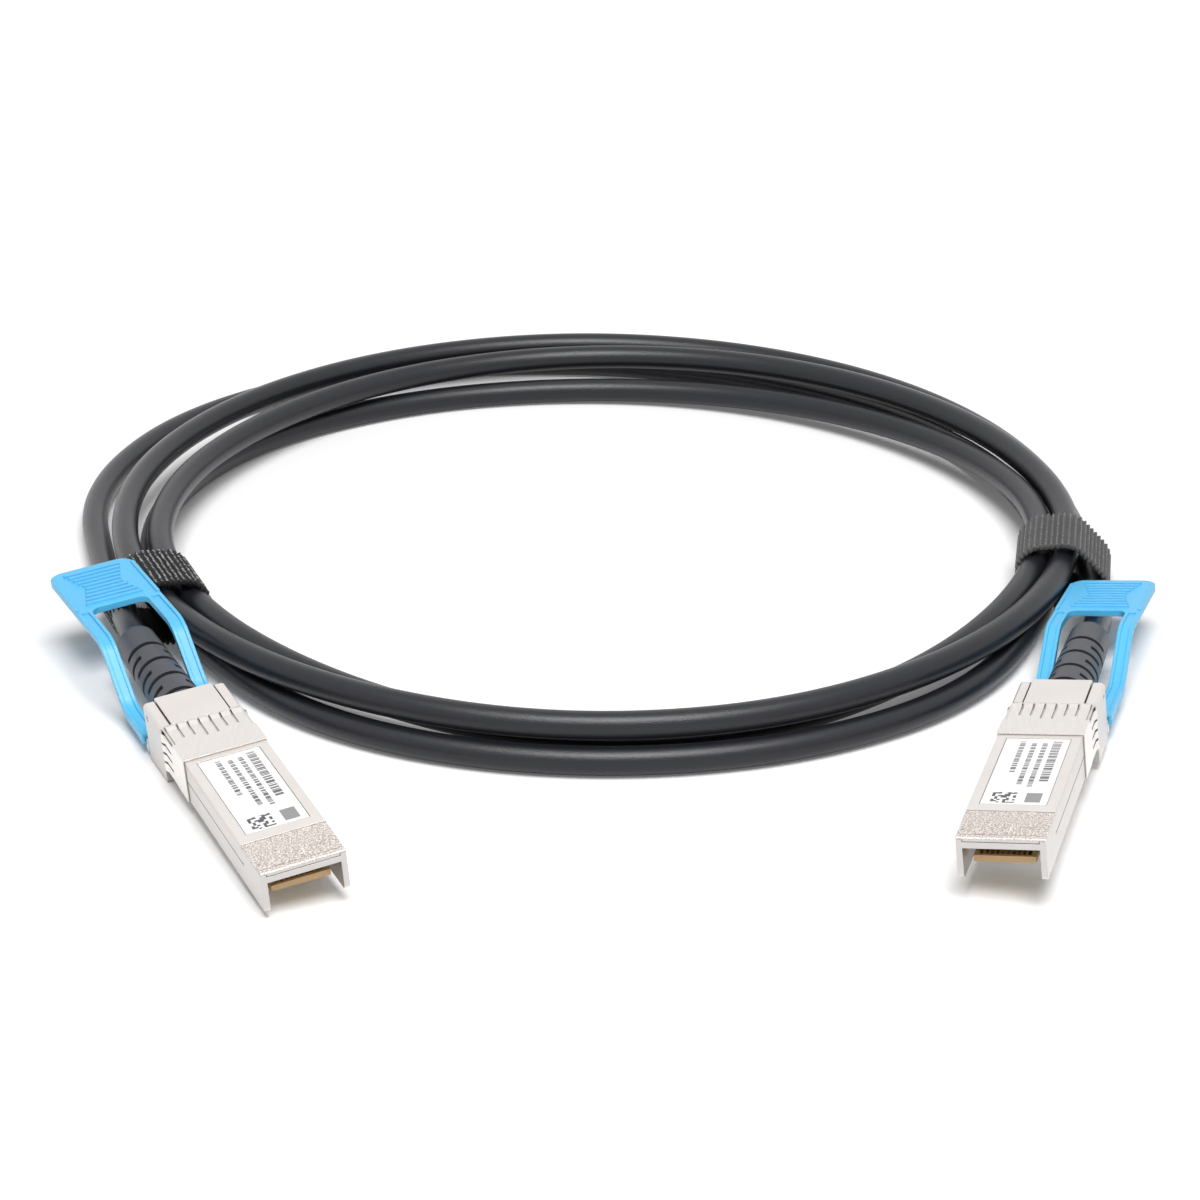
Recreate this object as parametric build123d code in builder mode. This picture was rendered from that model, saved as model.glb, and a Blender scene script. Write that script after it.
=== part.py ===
from build123d import *
from math import cos, pi, radians, sin, tan
import os

os.makedirs("parts", exist_ok=True)

# A passive direct attach copper cable, coiled flat and held by two straps. Millimetres, +Z up.
# Each plug is drawn once in its own frame: x across, y from the nose to the rear, z up from the
# underside of the part that goes into the port. It is then seated twice, left and right.

# The frame origin lies on the ground below the middle of the plugs, tabs and straps.
frame_x = 1.27
frame_y = -52.46

# How the two plugs lie: place of the nose, then turn, pitch and roll in degrees
left_nose = (-43.06, -113.51)
left_turns = (24.05, 2.22, -5.47)
right_nose = (59.77, -112.65)
right_turns = (-16.37, -0.92, -6.72)

# Plug body
body_width = 13.4
body_top = 8.5
nose_top = 8.2
slope_end = 8.8
step_line = 0.15
step_depth = 0.08
wall_bottom = 1.4
leg_thickness = 0.9
seam_gap = 0.05
cover_edge = 0.65
cover_bottom = body_top - cover_edge
wall_top = cover_bottom - seam_gap
mouth_width = body_width - 2 * leg_thickness
fit_gap = 0.1
ridge_width = mouth_width - 2 * fit_gap
ridge_bottom = 7.3
lintel_depth = 1.6
lintel_bottom = 6.4
lintel_top = 7.4
lip_bottom = 7.52
tip_radius = 0.8
edge_round = 0.22
tray_step = 1.0
tray_width = body_width - 2 * tray_step
tray_start = 12.0
tray_wall = 0.9
tray_floor = 0.9
side_groove_z = 5.0
side_groove_width = 0.25
side_groove_depth = 0.12
side_groove_start = 9.0
side_dot = 0.35

# Rear block of the plug
rear_start = 48.6
rear_end = 58.0
rear_step = 0.25
rear_width = body_width + 2 * rear_step
rail_top = 8.26
rail_round = 0.7
rear_corner = 0.4
cheek_bottom = -1.7
block_floor = 0.4
rear_wall = 1.5
rail_width = 1.82
cap_groove = 0.25
cap_width = rear_width - 2 * rail_width - 2 * cap_groove
cap_top = 8.53
cap_overhang = 0.16
cap_round = 0.2
cap_bottom = 7.65
cap_seat_bottom = cap_bottom - fit_gap
cheek_thickness = 2.05
rear_cavity_width = rear_width - 2 * cheek_thickness
rear_cavity_start = 46.0
dimple_radius = 0.5
dimple_depth = 0.2
dimple_y = 56.0
dimple_z = 6.4

# Label and its pocket
pocket_start = 11.0
pocket_end = 35.0
pocket_border = 1.55
pocket_width = body_width - 2 * pocket_border
pocket_depth = 0.15
label_thickness = 0.12
label_margin = 0.12

# Spring collar around the body
collar_start = 36.3
collar_band_end = 41.8
collar_end = 48.3
collar_thickness = 0.2
collar_seat = 0.03
bump_start = 46.3
bump_peak = 47.3
bump_height = 0.32
finger_slot = 0.4
slot_start = 43.3
long_slot_start = 42.2
top_fingers = 7
side_fingers = 4

# Paddle card and what it carries
card_side_gap = 1.1
card_width = mouth_width - 2 * card_side_gap
card_start = 2.5
card_end = 30.0
card_bottom = 3.1
card_thickness = 1.0
card_top = card_bottom + card_thickness
card_shoulder_start = 9.0
shoulder_gap = 0.4
card_shoulder_width = mouth_width - 2 * shoulder_gap
pad_pitch = 0.8
pads_per_side = 10
pad_width = 0.5
pad_length = 3.2
pad_set_back = 0.4
pad_thickness = 0.05
chip_size = (4.4, 3.9, 1.1)
chip_y = 19.0
capacitor_size = (0.6, 1.1, 0.55)
capacitor_y = 10.5
capacitor_pitch = 1.6
capacitor_count = 4

# Conductors, ferrule and cable
cable_axis = 4.0
cable_diameter = 4.8
jacket_end = 56.0
pair_width = 2.0
pair_height = 1.0
pair_start = 26.0
ferrule_start = 50.5
ferrule_end = 56.4
ferrule_bore = 2.45
ferrule_outer = 3.1
flange_start = 55.4
flange_outer = 3.5

# Strain relief boot
boot_neck = 1.4
boot_start = rear_end + cap_overhang + fit_gap
boot_neck_outer = 3.0
wall_hole = 3.1
boot_end = 85.8
boot_bore = 2.47
boot_flare_start = 79.2
boot_mouth = 2.85
boot_root = 4.1
boot_tip = 3.5
boot_tip_round = 0.55
boot_slot = 1.1
boot_slot_pitch = 6.05
boot_first_slot = 59.5
boot_slots = 4
boot_slot_core = 2.9
boot_side_bridge = 1.8
boot_crown_bridge = 4.0
boot_cut = 2 * boot_root

# Latch slide under the body, with its springs
slide_bottom = -1.1
slide_top = -0.5
slide_start = 37.5
channel_cheek = 1.95
slide_channel = rear_width - 2 * channel_cheek
slide_side_gap = 0.3
slide_width = slide_channel - 2 * slide_side_gap
groove_wall = 0.95
slide_groove_width = rear_width - 2 * groove_wall
slide_ear_width = slide_groove_width - 2 * slide_side_gap
slide_ear_start = 49.4
slide_ear_end = 57.4
slide_groove_gap = 0.2
prong_start = 33.0
prong_inner = 1.7
prong_width = 1.2
boss_start = 32.6
boss_end = 35.2
boss_width = 2.6
boss_height = 1.0
slide_window_start = 50.0
slide_window_end = 57.0
slide_window_width = 1.9
spring_inset = 1.3
spring_x = slide_width / 2 - spring_inset
spring_radius = 0.5
spring_wire = 0.1
spring_turns = 6
spring_gap = 0.12
peg_start = 55.2
peg_end = 56.2
peg_width = 1.2
crossbar_start = 58.4
crossbar_end = 59.4
tongue_inset = 0.05
tongue_width = 1.5
tongue_outer = rear_width / 2 - tongue_inset
tongue_inner = tongue_outer - tongue_width
tongue_z = 0.35
tongue_thick = 0.7
tongue_end = 66.0

# Pull tab
arm_start = 59.7
arm_top = 1.6
arm_thickness = 1.7
arm_reach = 0.45
arm_width = 2.5
arm_outer = rear_width / 2 + arm_reach
arm_inner = arm_outer - arm_width
handle_start = 90.6
handle_end = 107.0
handle_corner = 2.6
window_corner = 1.6
tab_thickness = 1.1
tab_bend = 6.0
swing_start = 66.0
tongue_gap = 0.05
rib_count = 10
rib_pitch = 1.38
rib_width = 0.65
rib_height = 0.35
rib_first = 1.9
rib_waist = 3.1
rib_flare = 0.42
rim_width = 0.6
rim_height = 0.3
channel_depth = 0.3
channel_start = 62.0
channel_end = 89.6

# How the soft tabs rest: where the arms begin to rise and where they level out, the height of the
# top there and at the end of the handle, and how far the end has swung to the side
left_tab_rest = (69.5, 78.2, 10.35, 9.6, -1.5)
right_tab_rest = (72.2, 83.0, 7.9, 6.45, 1.46)

# Cover screws
screw_inset = 2.3
screw_x = tray_width / 2 - screw_inset
screw_y = 35.0
screw_head = 1.2
screw_head_height = 0.6
screw_shank = 0.7
screw_top = 5.0
screw_gap = 0.03
pillar_radius = 1.3
pillar_gap = 0.05

# The coil: centre, where the straps sit, and where each strand passes through a strap
coil_middle_x = 1.0
coil_middle_y = 24.0
ring_x = coil_middle_x - frame_x
ring_y = coil_middle_y - frame_y
left_strap_angle = 205.0
right_strap_angle = -14.5
left_strap_radius = 87.2
right_strap_radius = 84.8
back_steps = 9
front_steps = 6
lead_straight = 87.0
left_lead_turn = (2.4, 101.0, 1.6)
right_lead_turn = (-0.3, 101.0, 1.9)
run_share = 0.45
outer_slot = (2.65, 4.16)
bottom_slot = (-2.65, 4.16)
top_slot = (2.65, 9.45)
inner_slot = (-2.65, 9.45)

# Each half turn: its slot in the first and the last strap, and the radius and height it has at a
# quarter, a half and three quarters of the way. Back and front halves follow each other.
half_turns = [
    (outer_slot, bottom_slot, ((105.0, 2.8), (96.0, 2.5), (85.2, 2.6))),
    (bottom_slot, bottom_slot, ((93.0, 2.6), (95.0, 2.5), (93.5, 2.6))),
    (bottom_slot, inner_slot, ((86.0, 2.6), (78.8, 2.6), (77.4, 4.9))),
    (inner_slot, inner_slot, ((84.5, 5.0), (88.6, 2.7), (85.4, 5.2))),
    (inner_slot, top_slot, ((81.6, 7.9), (84.8, 7.8), (82.8, 9.2))),
    (top_slot, top_slot, ((89.8, 8.0), (92.6, 7.4), (91.4, 8.0))),
    (top_slot, outer_slot, ((91.8, 8.1), (93.0, 7.9), (89.9, 6.5))),
]

# Straps
strap_width = 15.0
strap_thickness = 1.0
strap_gap = 0.35
cable_radius = cable_diameter / 2


def upright(y):
    """A sketch plane across the plug at y, seen from the nose: x to the right, z up."""
    return Plane(origin=(0, y, 0), x_dir=(1, 0, 0), z_dir=(0, -1, 0))


def block(width, y_from, y_to, z_from, z_to, x=0.0, mode=Mode.ADD):
    """A rectangular block of the part that is being built."""
    with Locations((x, (y_from + y_to) / 2, (z_from + z_to) / 2)):
        Box(width, y_to - y_from, z_to - z_from, mode=mode)


def seat(nose, turns, height=0.0):
    """Where a plug stands in the shared frame."""
    yaw, pitch, roll = turns
    place = Location((nose[0] - frame_x, nose[1] - frame_y, height))
    return place * Location((0, 0, 0), (0, 0, yaw)) * Location((0, 0, 0), (pitch, 0, 0)) * Location(
        (0, 0, 0), (0, roll, 0))


# Lower shell: side walls with two nose legs, lintel, tray, rear block with rails and cheeks
with BuildPart() as lower_shell:
    block(body_width, 0, rear_start, wall_bottom, wall_top)
    tips = lower_shell.edges().filter_by(Axis.X).group_by(Axis.Y)[0].sort_by(Axis.Z)[:1]
    fillet(tips, tip_radius)
    block(tray_width, tray_start, rear_start, 0, wall_bottom)
    block(rear_width, rear_start, rear_end, cheek_bottom, rail_top)
    top_rails = lower_shell.edges().filter_by(Axis.Y).group_by(Axis.Z)[-1]
    fillet(top_rails, rail_round)
    rear_corners = lower_shell.edges().filter_by(Axis.Z).group_by(Axis.Y)[-1]
    fillet(rear_corners, rear_corner)
    block(mouth_width, 0, tray_start, wall_bottom, lintel_bottom, mode=Mode.SUBTRACT)
    block(mouth_width, 0, lintel_depth, lintel_top, wall_top, mode=Mode.SUBTRACT)
    block(mouth_width, lintel_depth, rear_cavity_start, wall_bottom + tray_wall, wall_top, mode=Mode.SUBTRACT)
    block(tray_width - 2 * tray_wall, tray_start + tray_wall, rear_cavity_start, tray_floor,
          wall_bottom + tray_wall, mode=Mode.SUBTRACT)
    block(rear_cavity_width, rear_cavity_start, rear_end - rear_wall, block_floor, rail_top,
          mode=Mode.SUBTRACT)
    block(cap_width + 2 * cap_groove, rear_cavity_start, rear_end, cap_seat_bottom, rail_top,
          mode=Mode.SUBTRACT)
    block(slide_channel, rear_start, rear_end, cheek_bottom, 0, mode=Mode.SUBTRACT)
    block(slide_groove_width, rear_start, rear_end, slide_bottom - slide_groove_gap,
          slide_top + slide_groove_gap,
          mode=Mode.SUBTRACT)
    for side in (-1, 1):
        block(peg_width, peg_start, peg_end, cheek_bottom + slide_groove_gap, 0, x=side * spring_x)
    with BuildSketch(upright(rear_end)):
        with Locations((0, cable_axis)):
            Circle(wall_hole)
    extrude(amount=rear_wall, mode=Mode.SUBTRACT)
    with BuildSketch(Plane.YZ.offset(-boss_width / 2)):
        with BuildLine():
            Polyline((boss_start, 0), (boss_end, 0), (boss_end, -boss_height), (boss_start, 0))
        make_face()
    extrude(amount=boss_width)
    for side in (-1, 1):
        block(2 * side_groove_depth, side_groove_start, collar_start,
              side_groove_z - side_groove_width / 2, side_groove_z + side_groove_width / 2,
              x=side * body_width / 2, mode=Mode.SUBTRACT)
    with BuildSketch(Plane.YZ.offset(-body_width / 2), Plane.YZ.offset(body_width / 2)):
        with Locations((side_groove_start, side_groove_z)):
            Circle(side_dot)
    extrude(amount=side_groove_depth, both=True, mode=Mode.SUBTRACT)
    with BuildSketch(Plane.YZ.offset(-rear_width / 2), Plane.YZ.offset(rear_width / 2)):
        with Locations((dimple_y, dimple_z)):
            Circle(dimple_radius)
    extrude(amount=dimple_depth, both=True, mode=Mode.SUBTRACT)
    with BuildSketch(Plane.XY):
        with Locations((-screw_x, screw_y), (screw_x, screw_y)):
            Circle(screw_head + screw_gap)
    extrude(amount=screw_head_height + screw_gap, mode=Mode.SUBTRACT)
    with BuildSketch(Plane.XY):
        with Locations((-screw_x, screw_y), (screw_x, screw_y)):
            Circle(screw_shank + screw_gap)
    extrude(amount=tray_floor, mode=Mode.SUBTRACT)

# Upper shell: cover plate with a sloping nose, label pocket and the cap between the rails
with BuildPart() as upper_shell:
    block(cap_width, rear_start, rear_end + cap_overhang, cap_bottom, cap_top)
    cap_edges = upper_shell.edges().filter_by(Axis.Y).group_by(Axis.Z)[-1]
    fillet(cap_edges, cap_round)
    with BuildSketch(Plane.YZ):
        with BuildLine():
            Polyline((0, cover_bottom), (rear_start, cover_bottom), (rear_start, body_top),
                     (slope_end, body_top),
                     (0, nose_top), close=True)
        make_face()
    extrude(amount=body_width / 2, both=True)
    front_edge = upper_shell.edges().filter_by(Axis.X).group_by(Axis.Y)[0].sort_by(Axis.Z)[-1:]
    fillet(front_edge, edge_round)
    block(ridge_width, 0, lintel_depth, lip_bottom, cover_bottom)
    block(ridge_width, lintel_depth + fit_gap, rear_cavity_start - fit_gap, ridge_bottom, cover_bottom)
    block(cap_width, rear_cavity_start - fit_gap, rear_start, cap_bottom, cover_bottom)
    block(body_width, slope_end - step_line, slope_end, body_top - step_depth, body_top, mode=Mode.SUBTRACT)
    block(pocket_width, pocket_start, pocket_end, body_top - pocket_depth, body_top, mode=Mode.SUBTRACT)
    with BuildSketch(Plane.XY.offset(tray_floor + pillar_gap)):
        with Locations((-screw_x, screw_y), (screw_x, screw_y)):
            Circle(pillar_radius)
            Circle(screw_shank + screw_gap, mode=Mode.SUBTRACT)
    extrude(amount=ridge_bottom - tray_floor - pillar_gap)

# Label in the pocket
with BuildPart() as label:
    block(pocket_width - 2 * label_margin, pocket_start + label_margin, pocket_end - label_margin,
          body_top - pocket_depth, body_top - pocket_depth + label_thickness)

# Spring collar: a band around the body, with bulged fingers behind it on the top and the sides
band_in = body_width / 2 + collar_seat
band_out = band_in + collar_thickness
band_top = body_top + collar_seat
tray_in = tray_width / 2 + collar_seat
with BuildPart() as emi_collar:
    with BuildSketch(upright(collar_start)):
        with BuildLine():
            Polyline((-band_out, wall_bottom - collar_seat - collar_thickness),
                     (-tray_in - collar_thickness, wall_bottom - collar_seat - collar_thickness),
                     (-tray_in - collar_thickness, -collar_seat - collar_thickness),
                     (tray_in + collar_thickness, -collar_seat - collar_thickness),
                     (tray_in + collar_thickness, wall_bottom - collar_seat - collar_thickness),
                     (band_out, wall_bottom - collar_seat - collar_thickness),
                     (band_out, band_top + collar_thickness), (-band_out, band_top + collar_thickness),
                     close=True)
        make_face()
        with BuildLine():
            Polyline((-band_in, wall_bottom - collar_seat), (-tray_in, wall_bottom - collar_seat),
                     (-tray_in, -collar_seat), (tray_in, -collar_seat), (tray_in, wall_bottom - collar_seat),
                     (band_in, wall_bottom - collar_seat), (band_in, band_top), (-band_in, band_top),
                     close=True)
        make_face(mode=Mode.SUBTRACT)
    extrude(amount=-(collar_band_end - collar_start))
    with BuildSketch(Plane.YZ):
        with BuildLine():
            Polyline((collar_band_end, band_top), (bump_start, band_top), (bump_peak, band_top + bump_height),
                     (collar_end, band_top), (collar_end, band_top + collar_thickness),
                     (bump_peak, band_top + bump_height + collar_thickness),
                     (bump_start, band_top + collar_thickness),
                     (collar_band_end, band_top + collar_thickness), close=True)
        make_face()
        fillet(vertices().group_by(Axis.Y)[-1], bump_height)
    extrude(amount=body_width / 2 - finger_slot, both=True)
    for side in (-1, 1):
        with BuildSketch(Plane.XY.offset(wall_bottom)):
            with BuildLine():
                Polyline((side * band_in, collar_band_end), (side * band_in, bump_start),
                         (side * (band_in + bump_height), bump_peak), (side * band_in, collar_end),
                         (side * band_out, collar_end), (side * (band_out + bump_height), bump_peak),
                         (side * band_out, bump_start), (side * band_out, collar_band_end), close=True)
            make_face()
        extrude(amount=body_top - finger_slot - wall_bottom)
    top_pitch = (body_width - 2 * finger_slot) / top_fingers
    with BuildSketch(Plane.XY.offset(body_top - finger_slot)):
        with GridLocations(top_pitch, 0, top_fingers - 1, 1):
            with Locations((0, (slot_start + collar_end) / 2)):
                Rectangle(finger_slot, collar_end - slot_start)
        with Locations((-top_pitch / 2, (long_slot_start + slot_start) / 2),
                       (top_pitch / 2, (long_slot_start + slot_start) / 2)):
            Rectangle(finger_slot, slot_start - long_slot_start)
    extrude(amount=2 * finger_slot + bump_height, mode=Mode.SUBTRACT)
    side_pitch = (body_top - finger_slot - wall_bottom) / side_fingers
    side_middle = (body_top - finger_slot + wall_bottom) / 2
    with BuildSketch(Plane.YZ.offset(-body_width)):
        with Locations(((slot_start + collar_end) / 2, side_middle)):
            with GridLocations(0, side_pitch, 1, side_fingers - 1):
                Rectangle(collar_end - slot_start, finger_slot)
    extrude(amount=2 * body_width, mode=Mode.SUBTRACT)

# Paddle card with its contacts, memory chip and capacitors
with BuildPart() as circuit_board:
    block(card_width, card_start, card_end, card_bottom, card_top)
    block(card_shoulder_width, card_shoulder_start, card_end, card_bottom, card_top)
with BuildPart() as edge_contacts:
    for z_from in (card_bottom - pad_thickness, card_top):
        with BuildSketch(Plane.XY.offset(z_from)):
            with Locations((0, card_start + pad_set_back + pad_length / 2)):
                with GridLocations(pad_pitch, 0, pads_per_side, 1):
                    Rectangle(pad_width, pad_length)
        extrude(amount=pad_thickness)
with BuildPart() as eeprom_chip:
    block(chip_size[0], chip_y - chip_size[1] / 2, chip_y + chip_size[1] / 2, card_top,
          card_top + chip_size[2])
with BuildPart() as coupling_capacitors:
    with BuildSketch(Plane.XY.offset(card_top)):
        with Locations((0, capacitor_y)):
            with GridLocations(capacitor_pitch, 0, capacitor_count, 1):
                Rectangle(capacitor_size[0], capacitor_size[1])
    extrude(amount=capacitor_size[2])

# Two twinax pairs, one on each face of the card, from the card to the end of the jacket
with BuildPart() as twinax_wires:
    with BuildSketch(upright(pair_start)):
        with Locations((0, card_top + pair_height / 2), (0, card_bottom - pair_height / 2)):
            SlotOverall(pair_width, pair_height)
    extrude(amount=-(jacket_end - pair_start))
with BuildPart() as crimp_ferrule:
    with BuildSketch(upright(ferrule_start)):
        with Locations((0, cable_axis)):
            Circle(ferrule_outer)
    extrude(amount=-(ferrule_end - ferrule_start))
    with BuildSketch(upright(flange_start)):
        with Locations((0, cable_axis)):
            Circle(flange_outer)
    extrude(amount=-(ferrule_end - flange_start))
    with BuildSketch(upright(ferrule_start)):
        with Locations((0, cable_axis)):
            Circle(ferrule_bore)
    extrude(amount=-(ferrule_end - ferrule_start), mode=Mode.SUBTRACT)

# Strain relief boot: a tapering sleeve with cross slots that take turns between top and sides. Each slot
# goes round from one bridge to the next and leaves a thin inner sleeve whole. The mouth flares a little
with BuildPart() as strain_relief:
    with BuildSketch(Plane.YZ):
        with BuildLine():
            Polyline((rear_end - boot_neck, cable_axis + boot_bore),
                     (rear_end - boot_neck, cable_axis + boot_neck_outer),
                     (boot_start, cable_axis + boot_neck_outer), (boot_start, cable_axis + boot_root),
                     (boot_end, cable_axis + boot_tip), (boot_end, cable_axis + boot_mouth),
                     (boot_flare_start, cable_axis + boot_bore), close=True)
        make_face()
        fillet(vertices().sort_by(Axis.X)[-2:].sort_by(Axis.Y)[-1:], boot_tip_round)
    revolve(axis=Axis((0, 0, cable_axis), (0, 1, 0)))
    for number in range(2 * boot_slots - 1):
        bridge = (boot_crown_bridge, 2 * boot_cut) if number % 2 else (2 * boot_cut, boot_side_bridge)
        with BuildSketch(upright(boot_first_slot + number * boot_slot_pitch / 2)):
            with Locations((0, cable_axis)):
                Circle(boot_cut)
                Circle(boot_slot_core, mode=Mode.SUBTRACT)
                Rectangle(*bridge, mode=Mode.SUBTRACT)
        extrude(amount=-boot_slot, mode=Mode.SUBTRACT)

# Latch slide: a flat plate in the grooves of the rear block, with two prongs beside the latch boss
with BuildPart() as latch_slide:
    block(slide_width, slide_start, crossbar_end, slide_bottom, slide_top)
    block(slide_ear_width, slide_ear_start, slide_ear_end, slide_bottom, slide_top)
    block(2 * tongue_outer, crossbar_start, crossbar_end, slide_bottom, slide_top)
    for side in (-1, 1):
        block(prong_width, prong_start, slide_start, slide_bottom, slide_top,
              x=side * (prong_inner + prong_width / 2))
        block(slide_window_width, slide_window_start, slide_window_end, slide_bottom, slide_top,
              x=side * spring_x, mode=Mode.SUBTRACT)
        tongue_middle = side * (tongue_inner + tongue_outer) / 2
        block(tongue_outer - tongue_inner, crossbar_start, crossbar_end, slide_bottom,
              tongue_z + tongue_thick,
              x=tongue_middle)
        block(tongue_outer - tongue_inner, crossbar_start, tongue_end, tongue_z, tongue_z + tongue_thick,
              x=tongue_middle)

# Two return springs between the front of the slide's windows and the pegs of the rear block
spring_from = slide_window_start + spring_gap
spring_length = peg_start - spring_gap - spring_from
with BuildPart() as return_springs:
    for side in (-1, 1):
        with BuildLine():
            coil_line = Helix(spring_length / spring_turns, spring_length, spring_radius,
                              center=(side * spring_x, spring_from, (slide_bottom + slide_top) / 2),
                              direction=(0, 1, 0))
        with BuildSketch(Plane(origin=coil_line @ 0, z_dir=coil_line % 0)):
            Circle(spring_wire)
        sweep(path=coil_line, is_frenet=True)

# Pull tab: two arms on the slide's tongues that rise to a ribbed handle above the cable. The tab is
# soft, so the left one and the right one rest at their own heights and a little to the side.
pull_tabs = {}
for end_name, tab_rest in (("left", left_tab_rest), ("right", right_tab_rest)):
    rise_start, rise_end, rise_top, end_top, swing = tab_rest
    side_view = [(arm_start, arm_top, arm_thickness), (rise_start, arm_top, arm_thickness),
                 (rise_end, rise_top, tab_thickness), (handle_end, end_top, tab_thickness)]
    lean = swing / (handle_end - swing_start)
    handle_swing = lean * (handle_start - swing_start)
    channel_swing = lean * (channel_end - swing_start)
    handle_slope = (end_top - rise_top) / (handle_end - rise_end)
    handle_middle = rise_top + handle_slope * (handle_start - rise_end) - tab_thickness / 2
    handle_plane = Plane(origin=(handle_swing, handle_start, handle_middle), x_dir=(1, 0, 0),
                         z_dir=(0, -handle_slope, 1))
    handle_length = handle_end - handle_start

    # The hollow along the top of each arm, between two raised rims
    with BuildPart() as arm_channels:
        with BuildSketch(Plane.YZ):
            with BuildLine():
                Polyline([(y, top - channel_depth) for y, top, thickness in side_view]
                         + [(y, top + thickness) for y, top, thickness in reversed(side_view)], close=True)
            make_face()
            fillet([corner for corner in vertices() if arm_start < corner.X < handle_end], tab_bend)
        extrude(amount=rear_width, both=True)
        with BuildSketch(Plane.XY.offset(-rear_width)):
            for side in (-1, 1):
                channel_outer = side * (arm_outer - rim_width)
                channel_inner = side * (arm_inner + rim_width)
                with BuildLine():
                    Polyline((channel_outer, channel_start), (channel_outer, swing_start),
                             (channel_outer + channel_swing, channel_end),
                             (channel_inner + channel_swing, channel_end),
                             (channel_inner, swing_start), (channel_inner, channel_start), close=True)
                make_face()
        extrude(amount=2 * rear_width, mode=Mode.INTERSECT)
    with BuildPart() as pull_tab:
        with BuildSketch(Plane.YZ):
            with BuildLine():
                Polyline([(y, top - thickness) for y, top, thickness in side_view]
                         + [(y, top) for y, top, thickness in reversed(side_view)], close=True)
            make_face()
            fillet([corner for corner in vertices() if arm_start < corner.X < handle_end], tab_bend)
        extrude(amount=rear_width, both=True)
        with BuildSketch(Plane.XY.offset(-rear_width)):
            with BuildLine():
                Polyline((-arm_outer, arm_start), (arm_outer, arm_start), (arm_outer, swing_start),
                         (arm_outer + swing, handle_end), (-arm_outer + swing, handle_end),
                         (-arm_outer, swing_start),
                         close=True)
            make_face()
            fillet(vertices().group_by(Axis.Y)[-1], handle_corner)
        extrude(amount=2 * rear_width, mode=Mode.INTERSECT)
        with BuildSketch(Plane.XY.offset(-rear_width)):
            with BuildLine():
                Polyline((-arm_inner, arm_start), (arm_inner, arm_start), (arm_inner, swing_start),
                         (arm_inner + handle_swing, handle_start), (-arm_inner + handle_swing, handle_start),
                         (-arm_inner, swing_start), close=True)
            make_face()
            fillet(vertices().group_by(Axis.Y)[-1], window_corner)
        extrude(amount=2 * rear_width, mode=Mode.SUBTRACT)
        for side in (-1, 1):
            block(tongue_outer - tongue_inner + 2 * tongue_gap, arm_start, tongue_end + tongue_gap,
                  tongue_z - tongue_gap, tongue_z + tongue_thick + tongue_gap,
                  x=side * (tongue_inner + tongue_outer) / 2, mode=Mode.SUBTRACT)
        add(arm_channels.part, mode=Mode.SUBTRACT)
        with BuildSketch(handle_plane):
            for number in range(rib_count):
                rib_y = rib_first + number * rib_pitch
                rib_half = rib_waist + rib_flare * abs(number - (rib_count - 1) / 2)
                with Locations((lean * rib_y, rib_y)):
                    Rectangle(2 * rib_half, rib_width)
        extrude(amount=tab_thickness / 2 + rib_height)
        with BuildSketch(handle_plane):
            rim_length = handle_length - handle_corner
            for side in (-1, 1):
                with BuildLine():
                    Polyline((side * arm_outer, 0), (side * arm_outer + lean * rim_length, rim_length),
                             (side * (arm_outer - rim_width) + lean * rim_length, rim_length),
                             (side * (arm_outer - rim_width), 0), close=True)
                make_face()
        extrude(amount=tab_thickness / 2 + rim_height)
    pull_tabs[end_name] = pull_tab

# Two countersunk screws from below, into the pillars of the cover
with BuildPart() as cover_screws:
    with BuildSketch(Plane.XY):
        with Locations((-screw_x, screw_y), (screw_x, screw_y)):
            Circle(screw_head)
    extrude(amount=screw_head_height)
    with BuildSketch(Plane.XY):
        with Locations((-screw_x, screw_y), (screw_x, screw_y)):
            Circle(screw_shank)
    extrude(amount=screw_top)


def standing_height(nose, turns):
    """The height at which the lowest corner of the plug's shell touches the ground."""
    return -lower_shell.part.moved(seat(nose, turns)).bounding_box().min.Z


plug_pieces = {
    "lower_shell": lower_shell, "upper_shell": upper_shell, "label": label, "emi_collar": emi_collar,
    "circuit_board": circuit_board, "edge_contacts": edge_contacts, "eeprom_chip": eeprom_chip,
    "coupling_capacitors": coupling_capacitors, "twinax_wires": twinax_wires, "crimp_ferrule": crimp_ferrule,
    "strain_relief": strain_relief, "latch_slide": latch_slide, "return_springs": return_springs,
    "cover_screws": cover_screws,
}
left_seat = seat(left_nose, left_turns, standing_height(left_nose, left_turns))
right_seat = seat(right_nose, right_turns, standing_height(right_nose, right_turns))
for end_name, plug_seat in (("left", left_seat), ("right", right_seat)):
    for piece_name, piece in (*plug_pieces.items(), ("pull_tab", pull_tabs[end_name])):
        placed = piece.part.moved(plug_seat)
        placed.label = end_name + "_" + piece_name
        export_step(placed, "parts/" + placed.label + ".step")
    print(end_name, "plug stands at", plug_seat.position)


def eased(share, values):
    """A smooth curve through five values that stand a quarter of the way apart."""
    last = len(values) - 1
    step = min(int(share * last), last - 1)
    part = share * last - step
    slope_in = (values[step + 1] - values[max(step - 1, 0)]) / 2
    slope_out = (values[min(step + 2, last)] - values[step]) / 2
    rise = part * part * (3 - 2 * part)
    return (values[step] * (1 - rise) + values[step + 1] * rise
            + slope_in * part * (1 - part) ** 2 - slope_out * part ** 2 * (1 - part))


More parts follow.
